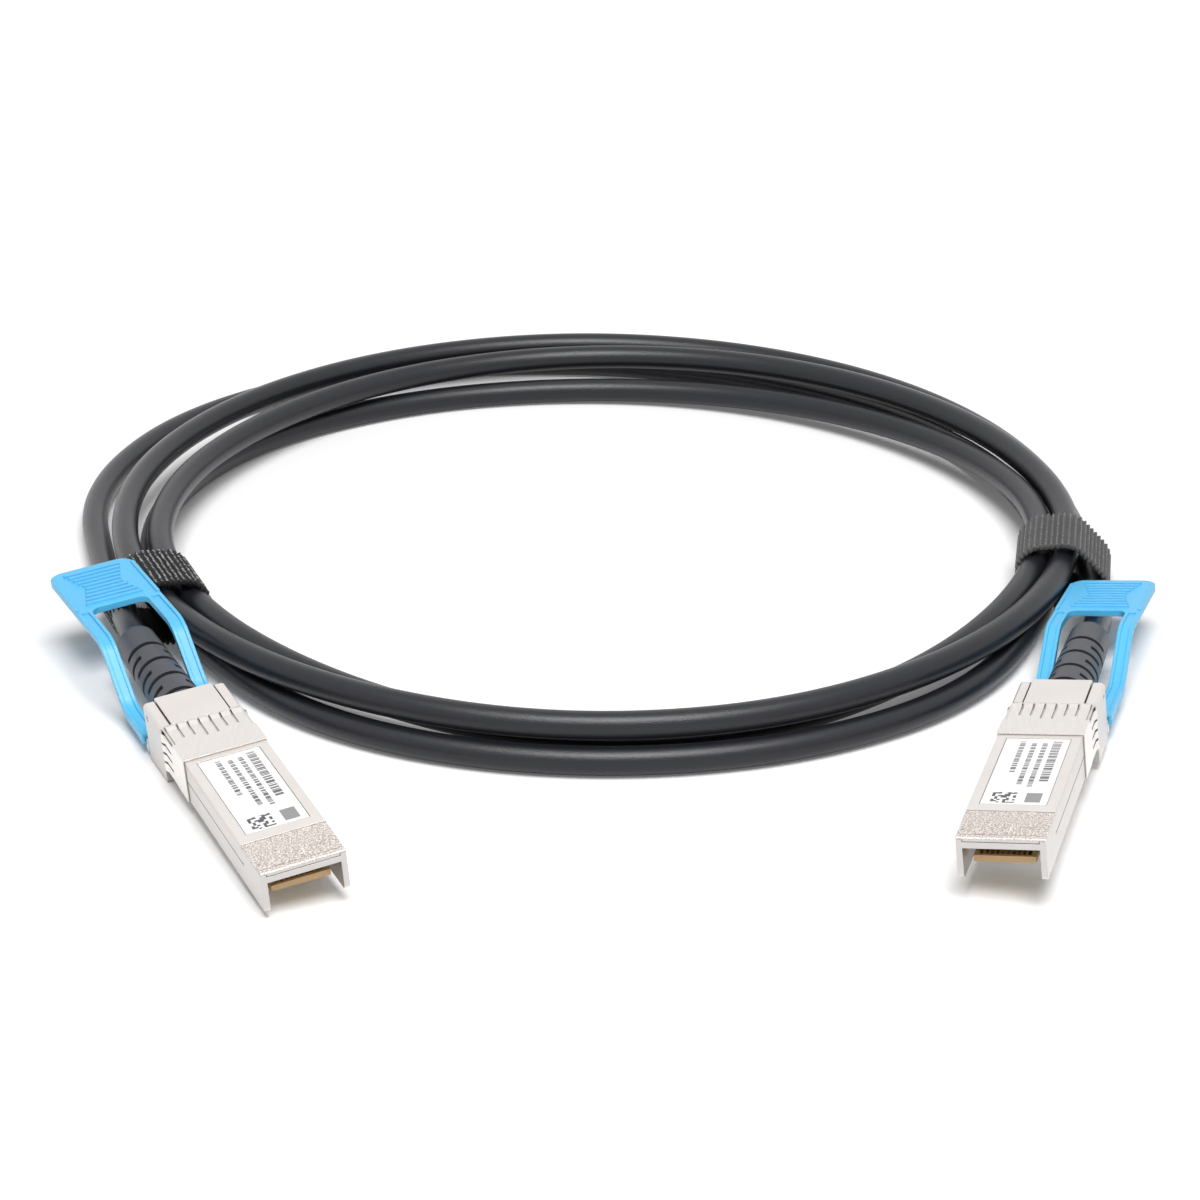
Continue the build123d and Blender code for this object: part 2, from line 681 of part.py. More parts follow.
def coil_points():
    """The corner points of all half turns, between one strap and the other."""
    points = []
    for number, (first, last, middles) in enumerate(half_turns):
        ends = [(left_strap_angle, left_strap_radius), (right_strap_angle, right_strap_radius)]
        steps = back_steps
        if number % 2:
            ends = [ends[1], (left_strap_angle - 360, left_strap_radius)]
            steps = front_steps
        radii = [ends[0][1] + first[0]] + [middle[0] for middle in middles] + [ends[1][1] + last[0]]
        heights = [first[1]] + [middle[1] for middle in middles] + [last[1]]
        for step in range(steps):
            share = (step + 0.5) / steps
            angle = radians(ends[0][0] + (ends[1][0] - ends[0][0]) * share)
            radius = eased(share, radii)
            points.append(Vector(ring_x + radius * cos(angle), ring_y + radius * sin(angle),
                                 eased(share, heights)))
    return points


def lead_points(plug_seat, lead_turn):
    """The corner points of the cable in and behind a plug."""
    spots = [(0, jacket_end, cable_axis), (0, lead_straight, cable_axis), lead_turn]
    return [(plug_seat * Location(spot)).position for spot in spots]


left_lead = lead_points(left_seat, left_lead_turn)
right_lead = lead_points(right_seat, right_lead_turn)
route = left_lead + coil_points() + right_lead[::-1]
bend_radii = []
for before, corner, after in zip(route, route[1:], route[2:]):
    turn = (corner - before).get_angle(after - corner)
    shorter = min((corner - before).length, (after - corner).length)
    bend_radii.append(run_share * shorter / tan(radians(turn) / 2))
with BuildPart() as cable:
    with BuildLine() as cable_line:
        FilletPolyline(*route, radius=bend_radii)
    with BuildSketch(Plane(origin=route[0], z_dir=route[1] - route[0])):
        Circle(cable_radius)
    sweep(path=cable_line.wires()[0])
cable.part.label = "cable"
export_step(cable.part, "parts/cable.step")
cable_length = cable_line.wires()[0].length
print("cable length", cable_length, "bend radii", min(bend_radii), "to", max(bend_radii))
print("cable volume", cable.part.volume, "section times length", pi * cable_radius ** 2 * cable_length)


def strap_frame(runs):
    """The plane across a bundle of strands, halfway along the runs that pass through the strap."""
    middle = sum(((start + end) / 2 for start, end in runs), Vector()) / len(runs)
    along = sum(((end - start).normalized() for start, end in runs), Vector())
    return Plane(origin=(middle.X, middle.Y, 0), x_dir=(along.Y, -along.X, 0), z_dir=(along.X, along.Y, 0))


def strand_spots(plane, runs):
    """Where each strand crosses the strap's two edges and its middle, in the strap's plane."""
    spots = []
    for start, end in runs:
        from_point = plane.to_local_coords(start)
        to_point = plane.to_local_coords(end)
        for reach in (-strap_width / 2, 0, strap_width / 2):
            share = (reach - from_point.Z) / (to_point.Z - from_point.Z)
            spot = from_point + (to_point - from_point) * share
            spots.append((spot.X, spot.Y))
    return spots


turn_steps = back_steps + front_steps
first_back = len(left_lead)
left_runs = [(route[first_back - 1 + turn_steps * turn], route[first_back + turn_steps * turn])
             for turn in range(4)]
right_runs = [(route[first_back + back_steps + turn_steps * turn],
               route[first_back - 1 + back_steps + turn_steps * turn])
              for turn in range(4)]
left_plane = strap_frame(left_runs)
right_plane = strap_frame(right_runs)

# Straps: closed bands around the four strands
with BuildPart() as left_strap:
    with BuildSketch(left_plane):
        with Locations(*strand_spots(left_plane, left_runs)):
            Circle(cable_radius + strap_gap + strap_thickness)
        make_hull()
    extrude(amount=strap_width / 2, both=True)
    with BuildSketch(left_plane):
        with Locations(*strand_spots(left_plane, left_runs)):
            Circle(cable_radius + strap_gap)
        make_hull()
    extrude(amount=strap_width / 2, both=True, mode=Mode.SUBTRACT)
left_strap.part.label = "left_strap"
export_step(left_strap.part, "parts/left_strap.step")
with BuildPart() as right_strap:
    with BuildSketch(right_plane):
        with Locations(*strand_spots(right_plane, right_runs)):
            Circle(cable_radius + strap_gap + strap_thickness)
        make_hull()
    extrude(amount=strap_width / 2, both=True)
    with BuildSketch(right_plane):
        with Locations(*strand_spots(right_plane, right_runs)):
            Circle(cable_radius + strap_gap)
        make_hull()
    extrude(amount=strap_width / 2, both=True, mode=Mode.SUBTRACT)
right_strap.part.label = "right_strap"
export_step(right_strap.part, "parts/right_strap.step")
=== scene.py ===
# %% [markdown]
# # A direct attach copper cable, dressed for its picture
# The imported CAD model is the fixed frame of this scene: every plug, tab and strap already has its
# shape, size and place. This lesson adds what CAD leaves out: the smooth cable, the weave of the
# straps, and a finish for every surface. Everything is in metres, in the frame of the CAD model.

# %% Load the frame
from math import cos, pi, radians, sin

import bpy
from mathutils import Matrix, Vector


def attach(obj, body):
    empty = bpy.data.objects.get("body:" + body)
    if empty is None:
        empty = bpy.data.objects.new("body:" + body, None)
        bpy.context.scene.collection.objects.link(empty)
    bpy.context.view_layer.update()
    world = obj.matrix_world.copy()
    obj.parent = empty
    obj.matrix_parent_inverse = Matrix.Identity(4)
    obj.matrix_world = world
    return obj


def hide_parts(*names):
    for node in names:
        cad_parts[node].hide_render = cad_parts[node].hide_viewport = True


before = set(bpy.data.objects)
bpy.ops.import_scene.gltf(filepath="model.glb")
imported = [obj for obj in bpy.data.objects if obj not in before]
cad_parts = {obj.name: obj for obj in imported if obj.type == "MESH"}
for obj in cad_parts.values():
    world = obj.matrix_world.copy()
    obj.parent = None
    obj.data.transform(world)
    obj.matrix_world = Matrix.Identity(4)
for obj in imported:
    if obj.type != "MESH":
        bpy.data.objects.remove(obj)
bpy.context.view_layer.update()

# %% [markdown]
# ## The camera
# The camera stands a little over half a metre in front of the coil and looks down on it at 24
# degrees with a long lens, so the far side of the ring is only a little smaller than the near side.
# Its numbers come from the plugs, whose real size is known.

# %% Camera
MM = 0.001
FRAME_SHIFT = Vector((1.27, -52.46, 0.0))
camera_data = bpy.data.cameras.new("camera")
camera_data.sensor_width = 36.0
camera_data.lens = 99.0
camera_data.clip_end = 20.0
camera = bpy.data.objects.new("camera", camera_data)
CAMERA_DISTANCE = 592.94
CAMERA_RISE = radians(24.0)
camera.location = (Vector((0, -CAMERA_DISTANCE * cos(CAMERA_RISE), CAMERA_DISTANCE * sin(CAMERA_RISE)))
                   - FRAME_SHIFT) * MM
camera.rotation_euler = (pi / 2 - CAMERA_RISE, 0, 0)
bpy.context.scene.collection.objects.link(camera)
bpy.context.scene.camera = camera
print("camera at", [round(v, 4) for v in camera.location])

# %% [markdown]
# ## Where the plugs lie
# Both plugs are the same piece in two places. A plug's own frame has x across, y from the nose to
# the rear and z up. These numbers turn a point of that frame into a point of the scene, and the
# finishes use them the other way round, so that a label or a grain sits right on a tilted plug.

# %% Seats of the plugs
SEATS = {
    "left": {"place": (-44.33, -61.05, 0.470397), "turn": (24.05, 2.22, -5.47)},
    "right": {"place": (58.5, -60.19, 3.42655), "turn": (-16.37, -0.92, -6.72)},
}


def seat_matrix(end):
    """The place of a plug in the scene, for points in millimetres."""
    yaw, pitch, roll = (radians(angle) for angle in SEATS[end]["turn"])
    turned = Matrix.Rotation(yaw, 4, "Z") @ Matrix.Rotation(pitch, 4, "X") @ Matrix.Rotation(roll, 4, "Y")
    return Matrix.Scale(MM, 4) @ Matrix.Translation(SEATS[end]["place"]) @ turned


print("left nose at", [round(v, 4) for v in seat_matrix("left").translation])

# %% [markdown]
# ## The cable
# The real cable is one piece, about two metres long, wound in three and a half flat turns between
# the two plugs. Each half turn has its own radius and height, so the turns fan out at the back and
# lie close at the front. A loop works out the corner points with the same numbers as the CAD part,
# and one NURBS curve runs along them. A curve with a round bevel stays smooth at any zoom.

# %% Corner points of the coil
CABLE_DIAMETER = 4.8
CABLE_AXIS = 4.0
JACKET_END = 56.0
BOOT_MIDDLE = 73.0
LEAD_STRAIGHT = 87.0
LEAD_TURNS = {"left": (2.4, 101.0, 1.6), "right": (-0.3, 101.0, 1.9)}
RING = Vector((1.0, 24.0, 0.0)) - FRAME_SHIFT
LEFT_STRAP = (205.0, 87.2)
RIGHT_STRAP = (-14.5, 84.8)
BACK_STEPS, FRONT_STEPS = 9, 6
OUTER, BOTTOM, TOP, INNER = (2.45, 3.6), (-2.45, 3.6), (2.45, 8.45), (-2.45, 8.45)
HALF_TURNS = [
    (OUTER, BOTTOM, ((105.0, 2.8), (96.0, 2.5), (85.2, 2.6))),
    (BOTTOM, BOTTOM, ((93.0, 2.6), (95.0, 2.5), (93.5, 2.6))),
    (BOTTOM, INNER, ((86.0, 2.6), (78.8, 2.6), (77.4, 4.9))),
    (INNER, INNER, ((84.5, 5.0), (88.6, 2.7), (85.4, 5.2))),
    (INNER, TOP, ((81.6, 7.9), (84.8, 7.8), (82.8, 9.2))),
    (TOP, TOP, ((89.8, 8.0), (92.6, 7.4), (91.4, 8.0))),
    (TOP, OUTER, ((91.8, 8.1), (93.0, 7.9), (89.9, 6.5))),
]


def eased(share, values):
    """A smooth curve through values that stand at even steps."""
    last = len(values) - 1
    step = min(int(share * last), last - 1)
    part = share * last - step
    slope_in = (values[step + 1] - values[max(step - 1, 0)]) / 2
    slope_out = (values[min(step + 2, last)] - values[step]) / 2
    rise = part * part * (3 - 2 * part)
    return (values[step] * (1 - rise) + values[step + 1] * rise
            + slope_in * part * (1 - part) ** 2 - slope_out * part ** 2 * (1 - part))


def coil_points():
    """The corner points of all half turns in millimetres."""
    points = []
    for number, (first, last, middles) in enumerate(HALF_TURNS):
        ends, steps = [LEFT_STRAP, RIGHT_STRAP], BACK_STEPS
        if number % 2:
            ends, steps = [RIGHT_STRAP, (LEFT_STRAP[0] - 360, LEFT_STRAP[1])], FRONT_STEPS
        radii = [ends[0][1] + first[0]] + [middle[0] for middle in middles] + [ends[1][1] + last[0]]
        heights = [first[1]] + [middle[1] for middle in middles] + [last[1]]
        for step in range(steps):
            share = (step + 0.5) / steps
            angle = radians(ends[0][0] + (ends[1][0] - ends[0][0]) * share)
            points.append(RING + Vector((cos(angle), sin(angle), 0)) * eased(share, radii)
                          + Vector((0, 0, eased(share, heights))))
    return points


def lead_points(end):
    """The points of the cable in its boot and just behind it."""
    spots = [(0, y, CABLE_AXIS) for y in (JACKET_END, BOOT_MIDDLE, LEAD_STRAIGHT)] + [LEAD_TURNS[end]]
    return [seat_matrix(end) @ Vector(spot) for spot in spots]


left_lead, right_lead = lead_points("left"), lead_points("right")
route = left_lead + [point * MM for point in coil_points()] + right_lead[::-1]
print("cable route:", len(route), "points")

# %% The cable as one curve
cable_curve = bpy.data.curves.new("cable_jacket", "CURVE")
cable_curve.dimensions = "3D"
cable_curve.bevel_depth = CABLE_DIAMETER / 2 * MM
cable_curve.bevel_resolution = 7
cable_curve.use_fill_caps = True
cable_spline = cable_curve.splines.new("NURBS")
cable_spline.points.add(len(route) - 1)
for spot, point in zip(cable_spline.points, route):
    spot.co = (*point, 1.0)
cable_spline.order_u = 3
cable_spline.use_endpoint_u = True
cable_spline.resolution_u = 16
cable = bpy.data.objects.new("cable_jacket", cable_curve)
bpy.context.scene.collection.objects.link(cable)
cable_length = sum((b - a).length for a, b in zip(route, route[1:]))
print("cable corner line is", round(cable_length, 3), "m long")

# %% [markdown]
# ## Writing finishes as sums
# A finish is a small network of shader nodes. To keep it readable, one class wraps a socket, so
# that sums and products of sockets are written as in plain Python and add the Math nodes they need.
# Any other node comes from its one method, add.

# %% A socket that can do sums
NOISE_ROUGHNESS = 0.55


class Signal:
    """A socket of a finish, with the operators that the finishes use."""

    def __init__(self, tree, socket):
        self.tree = tree
        self.socket = socket

    def add(self, kind, settings=None, inputs=None, output=0):
        """Adds a node with these settings and socket values or links, and gives one of its outputs."""
        node = self.tree.nodes.new(kind)
        for key, value in (settings or {}).items():
            setattr(node, key, value)
        for key, value in (inputs or {}).items():
            if isinstance(value, Signal):
                self.tree.links.new(value.socket, node.inputs[key])
            else:
                node.inputs[key].default_value = value
        return Signal(self.tree, node.outputs[output])

    def sum_up(self, operation, first, second):
        return self.add("ShaderNodeMath", {"operation": operation}, {0: first, 1: second})

    def __add__(self, other):
        return self.sum_up("ADD", self, other)

    def __radd__(self, other):
        return self.sum_up("ADD", other, self)

    def __sub__(self, other):
        return self.sum_up("SUBTRACT", self, other)

    def __rsub__(self, other):
        return self.sum_up("SUBTRACT", other, self)

    def __mul__(self, other):
        return self.sum_up("MULTIPLY", self, other)

    def __rmul__(self, other):
        return self.sum_up("MULTIPLY", other, self)

    def __gt__(self, other):
        return self.sum_up("GREATER_THAN", self, other)

    def __lt__(self, other):
        return self.sum_up("LESS_THAN", self, other)

    def part(self, axis):
        """One coordinate of a vector."""
        return self.add("ShaderNodeSeparateXYZ", None, {0: self}, "XYZ".index(axis))

    def mottle(self, scale, detail=3.0):
        """Soft cloudy noise from 0 to 1 over this place."""
        return self.add("ShaderNodeTexNoise", None, {"Vector": self, "Scale": scale, "Detail": detail,
                                                      "Roughness": NOISE_ROUGHNESS})

    def between(self, first, second):
        """The colour that lies this far from the first to the second."""
        return self.add("ShaderNodeMix", {"data_type": "RGBA"}, {0: self, 6: first, 7: second}, 2)

    def vector(self, operation, other=None, output=0):
        """A sum of vectors."""
        inputs = {0: self} if other is None else {0: self, 1: other}
        return self.add("ShaderNodeVectorMath", {"operation": operation}, inputs, output)

    def scaled(self, size):
        """This vector made longer or shorter."""
        return self.add("ShaderNodeVectorMath", {"operation": "SCALE"}, {0: self, "Scale": size})


print("finishes can now be written as sums")

# %% [markdown]
# Every finish starts in the same way: a principled shader, and the place of each point in the
# scene. Colours are written as they look on a screen and turned into linear light once.

# %% The start of every finish
BEVEL_SAMPLES, SHADE_SAMPLES = 4, 6


def screen(red, green, blue):
    """A screen colour from 0 to 255 as linear light."""
    linear = []
    for value in (red, green, blue):
        share = value / 255
        linear.append(share / 12.92 if share <= 0.04045 else ((share + 0.055) / 1.055) ** 2.4)
    return (*linear, 1.0)


def new_finish(name, **sockets):
    """A material with its principled shader, and the place of each point in metres."""
    material = bpy.data.materials.new(name)
    material.use_nodes = True
    tree = material.node_tree
    shader = tree.nodes["Principled BSDF"]
    for key, value in sockets.items():
        shader.inputs[key.replace("_", " ")].default_value = value
    place = tree.nodes.new("ShaderNodeTexCoord")
    return material, shader, Signal(tree, place.outputs["Object"])


def feed(shader, key, signal):
    """Links a signal to a socket of the shader."""
    signal.tree.links.new(signal.socket, shader.inputs[key])


def relief(place, height, depth, strength):
    """A normal with the given relief, its depth in millimetres."""
    return place.add("ShaderNodeBump", None,
                     {"Height": height, "Distance": depth * MM, "Strength": strength})


def rounded(place, height, depth, edge, strength):
    """The same, with edges that look a little rounded, by a radius in millimetres."""
    normal = relief(place, height, depth, strength)
    soft_edge = place.add("ShaderNodeBevel", {"samples": BEVEL_SAMPLES}, {"Radius": edge * MM})
    place.tree.links.new(soft_edge.socket, normal.socket.node.inputs["Normal"])
    return normal


def crevice(place, reach):
    """1 on open surfaces, and less in grooves and along seams about this many millimetres deep."""
    return place.add("ShaderNodeAmbientOcclusion", {"samples": SHADE_SAMPLES},
                     {"Distance": reach * MM}, "AO")


def in_plug(place, end):
    """The place of each point in the plug's own frame, in metres."""
    yaw, pitch, roll = (radians(angle) for angle in SEATS[end]["turn"])
    moved = place.vector("SUBTRACT", [value * MM for value in SEATS[end]["place"]])
    for axis, angle in (("Z_AXIS", -yaw), ("X_AXIS", -pitch), ("Y_AXIS", -roll)):
        moved = moved.add("ShaderNodeVectorRotate", {"rotation_type": axis},
                          {"Vector": moved, "Angle": angle})
    return moved


def paint(name, material):
    """Gives a piece of the frame one finish."""
    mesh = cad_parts[name].data
    mesh.materials.clear()
    mesh.materials.append(material)


def dress(piece, material):
    """Gives a piece of both plugs one finish."""
    for end in SEATS:
        paint(end + "_" + piece, material)


print("helpers for finishes are ready")

# %% [markdown]
# ## Metal of the plugs
# The shells are die-cast metal with a satin nickel plating, warm white under studio light. The
# sloping nose in front of the step line is left coarser, like fine sandpaper, so the grain and its
# darker speckle only show there, between two thin pressed lines. The upright sides are painted
# darker than the top as painted shade, and seams and grooves get painted shade too.

# %% Cast shells
NOSE_START, NOSE_END = 1.1 * MM, 8.65 * MM
NOSE_BOTTOM = 7.9 * MM
LINE_WIDTH = 0.12 * MM


def cast_finish(end):
    """Satin nickel with a coarse sloping nose, painted shade on its sides and in its seams."""
    material, shader, place = new_finish(end + "_cast_nickel", Metallic=0.9, Specular_IOR_Level=0.5)
    spot = in_plug(place, end)
    reach = spot.part("Y")
    nose = (reach < NOSE_END) * (spot.part("Z") > NOSE_BOTTOM)
    lines = nose * ((reach > NOSE_END - LINE_WIDTH)
                    + (reach < NOSE_START) * (reach > NOSE_START - LINE_WIDTH))
    cloud = spot.mottle(140.0)
    grain = spot.mottle(4400.0, 2.0)
    fine = spot.mottle(9000.0, 2.0)
    polish = cloud * 0.6 + fine * 0.4
    level = place.add("ShaderNodeNewGeometry", None, None, "Normal").part("Z")
    level = level.add("ShaderNodeMath", {"operation": "ABSOLUTE"}, {0: level})
    # The upright sides are painted darker than the level top: painted shade.
    side = polish.between(screen(190, 186, 183), screen(212, 208, 206))
    shell_with_painted_side_shade = level.between(side, polish.between(screen(222, 215, 210), screen(242, 237, 233)))
    coarse = (grain - 0.5) * 4.0 + 0.5
    coarse = coarse.add("ShaderNodeClamp", None, {0: coarse})
    colour = nose.between(shell_with_painted_side_shade, coarse.between(screen(166, 156, 149), screen(242, 234, 229)))
    # Painted shade in seams and grooves, from occlusion, together with the dark pressed lines of the nose.
    seam_shade_and_lines = (1.0 - crevice(spot, 0.5)) * 0.75 + lines * 0.6
    feed(shader, "Base Color", seam_shade_and_lines.between(colour, screen(84, 78, 72)))
    feed(shader, "Roughness", 0.33 + 0.08 * cloud + 0.16 * nose)
    feed(shader, "Normal", rounded(spot, fine * 0.25 + nose * grain, 0.06, 0.12, 0.5))
    return material


for end in SEATS:
    metal = cast_finish(end)
    for piece in ("lower_shell", "upper_shell"):
        paint(end + "_" + piece, metal)
print("shells are nickel plated")

# %% [markdown]
# The spring collar, the latch slide, the springs and the screws are stamped steel with the same
# bright plating: smoother than the casting, with faint rolling lines along the strip. The slots
# between the fingers of the collar and other hollows get painted shade.

# %% Spring steel
STREAK_STRETCH = (1.0, 0.08, 1.0)
steel, shader, place = new_finish("rolled_steel", Metallic=0.9, Specular_IOR_Level=0.5)
stretched = place.add("ShaderNodeMapping", None, {"Vector": place, "Scale": STREAK_STRETCH})
streaks = stretched.mottle(3000.0, 2.0)
plated = streaks.between(screen(224, 218, 213), screen(240, 236, 232))
# Painted shade in the finger slots and other hollows.
shade = (1.0 - crevice(place, 0.5)) * 0.8
feed(shader, "Base Color", shade.between(plated, screen(70, 65, 60)))
feed(shader, "Roughness", 0.27 + 0.06 * streaks)
feed(shader, "Normal", rounded(place, streaks, 0.01, 0.08, 0.2))
for piece in ("emi_collar", "latch_slide", "return_springs", "cover_screws"):
    dress(piece, steel)
print("steel pieces are dressed")

# %% [markdown]
# ## Inside the nose
# The paddle card is pale glass-fibre board at its bare front edge and green further in, with gold
# contacts. The parts behind it are only seen when a plug is turned over or opened.

# %% Card, contacts and inner parts
BARE_EDGE = 7.5 * MM
for end in SEATS:
    board, shader, place = new_finish(end + "_paddle_card", Specular_IOR_Level=0.4)
    spot = in_plug(place, end)
    bare = spot.part("Y") < BARE_EDGE
    weave = spot.mottle(2600.0, 2.0)
    green = weave.between(screen(20, 72, 44), screen(28, 90, 56))
    fibre = weave.between(screen(196, 160, 112), screen(216, 184, 138))
    feed(shader, "Base Color", bare.between(green, fibre))
    feed(shader, "Roughness", 0.45 + 0.15 * weave)
    feed(shader, "Normal", rounded(spot, weave, 0.03, 0.05, 0.3))
    paint(end + "_circuit_board", board)


def small_part_finish(name, dark, light, scale, roughness, metallic):
    """A plain finish with a fine mottle, for the small parts inside."""
    material, shader, place = new_finish(name, Metallic=metallic)
    cloud = place.mottle(scale, 2.0)
    feed(shader, "Base Color", cloud.between(screen(*dark), screen(*light)))
    feed(shader, "Roughness", roughness + 0.15 * cloud)
    feed(shader, "Normal", rounded(place, cloud, 0.02, 0.04, 0.3))
    return material


# Each small part: its finish, its dark and light colour, the scale of its mottle, its roughness
# and its share of metal
SMALL_PARTS = {
    "edge_contacts": ("hard_gold", (206, 164, 84), (232, 196, 118), 4000.0, 0.22, 1.0),
    "eeprom_chip": ("chip_resin", (22, 22, 23), (36, 36, 37), 3000.0, 0.5, 0.0),
    "coupling_capacitors": ("capacitor_ceramic", (128, 98, 66), (156, 124, 88), 3000.0, 0.4, 0.0),
    "twinax_wires": ("foil_pairs", (150, 152, 156), (196, 198, 202), 1500.0, 0.3, 0.8),
    "crimp_ferrule": ("ferrule_copper", (168, 108, 66), (204, 142, 92), 1800.0, 0.3, 1.0),
}
for piece, finish in SMALL_PARTS.items():
    dress(piece, small_part_finish(*finish))
print("inner parts are dressed")

# %% [markdown]
# ## The label
# The label is a white film in a shallow pocket. Its print stays generic: rows of grey dashes for
# lines of print, one checked square and one plain bar. All of it is drawn by the material, from
# the place of a point on the plug.

# %% Label film
# Each row of print: its lowest and highest place across the plug, and where it starts and ends
PRINT_ROWS = ((2.5, 3.9, 19.4, 34.0), (0.95, 1.75, 17.3, 33.6), (-0.75, 0.05, 18.0, 33.2),
              (-2.6, -1.75, 22.4, 33.8))
SQUARE = (-3.7, 0.0, 11.6, 15.3)
CELL = 0.46 * MM
BAR = (1.5, 3.9, 11.9, 15.2)
ROW_INK, SQUARE_INK, BAR_INK = 0.85, 0.92, 0.7
STROKE_GAP, CHECK_GAP = 0.46, 0.42


def strip(spot, axis, low, high):
    """1 where a coordinate lies between two values in millimetres."""
    value = spot.part(axis)
    return (value > low * MM) * (value < high * MM)


def patch(spot, low, high, begin, stop):
    """1 on a rectangle of the label."""
    return strip(spot, "X", low, high) * strip(spot, "Y", begin, stop)


def label_finish(end):
    """White film with generic grey marks."""
    material, shader, place = new_finish(end + "_label_film", Roughness=0.4, Specular_IOR_Level=0.4)
    spot = in_plug(place, end)
    wide = spot.add("ShaderNodeMapping", None, {"Vector": spot, "Scale": (0.0, 1.0, 0.0)})
    strokes = wide.mottle(2800.0, 0.0) > STROKE_GAP
    rows = [patch(spot, *row) for row in PRINT_ROWS]
    lines = sum(rows[1:], rows[0])
    flat = spot.add("ShaderNodeMapping", None, {"Vector": spot, "Scale": (1.0, 1.0, 0.0)})
    cells = flat.vector("SNAP", (CELL, CELL, CELL))
    checks = cells.add("ShaderNodeTexWhiteNoise", {"noise_dimensions": "3D"}, {"Vector": cells}) > CHECK_GAP
    paper = spot.mottle(900.0)
    print_share = (lines * strokes * ROW_INK + patch(spot, *SQUARE) * checks * SQUARE_INK
                   + patch(spot, *BAR) * BAR_INK)
    white = paper.between(screen(246, 246, 246), screen(252, 252, 252))
    feed(shader, "Base Color", print_share.between(white, screen(38, 37, 38)))
    feed(shader, "Normal", rounded(spot, paper, 0.02, 0.04, 0.2))
    return material


for end in SEATS:
    paint(end + "_label", label_finish(end))
print("labels are printed")

# %% [markdown]
# ## Rubber and plastic
# The boots are dull moulded rubber. The pull tabs are sky-blue soft plastic that lets a little
# light in, so they glow where they are thin. The cable jacket is smooth extruded plastic with a
# satin sheen: under soft light it shows one broad pale band along its top.

# %% Boots and pull tabs
rubber, shader, place = new_finish("boot_rubber", Specular_IOR_Level=0.36)
cloud = place.mottle(420.0)
pores = place.mottle(7000.0, 2.0)
# Painted shade in the slots between the rings of the boot and in other hollows.
shade = (1.0 - crevice(place, 1.2)) * 1.1
moulded = cloud.between(screen(64, 65, 71), screen(80, 81, 87))
feed(shader, "Base Color", shade.between(moulded, screen(8, 8, 9)))
feed(shader, "Roughness", 0.36 + 0.1 * cloud)
feed(shader, "Normal", rounded(place, pores, 0.03, 0.15, 0.35))
dress("strain_relief", rubber)

tab_plastic, shader, place = new_finish("blue_tab_plastic", Specular_IOR_Level=0.5, Subsurface_Weight=0.25,
                                        Subsurface_Scale=2.0 * MM, Subsurface_Radius=(0.5, 0.8, 1.0))
cloud = place.mottle(160.0)
skin = place.mottle(5000.0, 2.0)
feed(shader, "Base Color", cloud.between(screen(84, 190, 242), screen(98, 198, 246)))
feed(shader, "Roughness", 0.34 + 0.08 * cloud)
feed(shader, "Normal", rounded(place, skin, 0.02, 0.22, 0.3))
dress("pull_tab", tab_plastic)
print("boots and tabs are dressed")

# %% Cable jacket
jacket, shader, place = new_finish("cable_jacket", Specular_IOR_Level=0.42)
cloud = place.mottle(70.0)
skin = place.mottle(4200.0, 2.0)
feed(shader, "Base Color", cloud.between(screen(24, 25, 30), screen(32, 33, 39)))
feed(shader, "Roughness", 0.26 + 0.08 * skin)
feed(shader, "Normal", relief(place, skin, 0.1, 0.5))
cable.data.materials.append(jacket)
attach(cable, "cable_assembly")
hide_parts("cable")
print("the cable has its jacket")

# %% [markdown]
# ## Straps
# Two bands of hook-and-loop webbing hold the bundle. Each is a flat strap with fine ribs across it,
# rows of tiny nylon hooks on the ribs, and a soft pile on its inner face that frays out at the
# edges. Ribs, hooks and pile all repeat along one line, the outline of the four strands, so Geometry
# Nodes make them from that line. First the line: a strap lies across the cable runs that it holds,
# and in every direction it goes round the strand that reaches furthest. The webbing is stiff, so
# its corners are rounder than those of the bundle, and its underside is flat where it meets the floor.

# %% Outline of a strap
STRAND_COUNT = 4
STRAP_WIDTH = 15.0 * MM
STRAP_GAP = 0.2 * MM
STRAP_SLIDE = {"left": -2.5 * MM, "right": 0.0}
ROUNDNESS = 0.25
BAND_THICKNESS = 0.6 * MM
RIB_PITCH = 0.95 * MM
RIB_HEIGHT = 0.4 * MM
HOOK_SIZES = {"left": 0.27 * MM, "right": 0.14 * MM}
HOOK_SUNK = 0.4
OUTLINE_STEPS = 96
TURN_STEPS = BACK_STEPS + FRONT_STEPS
first_back = len(left_lead)
first_points = {"left": first_back, "right": first_back + BACK_STEPS}
strap_runs = {end: [] for end in SEATS}
for turn in range(STRAND_COUNT):
    for end, first in first_points.items():
        before, after = route[first - 1 + TURN_STEPS * turn], route[first + TURN_STEPS * turn]
        strap_runs[end].append((before, after) if end == "left" else (after, before))


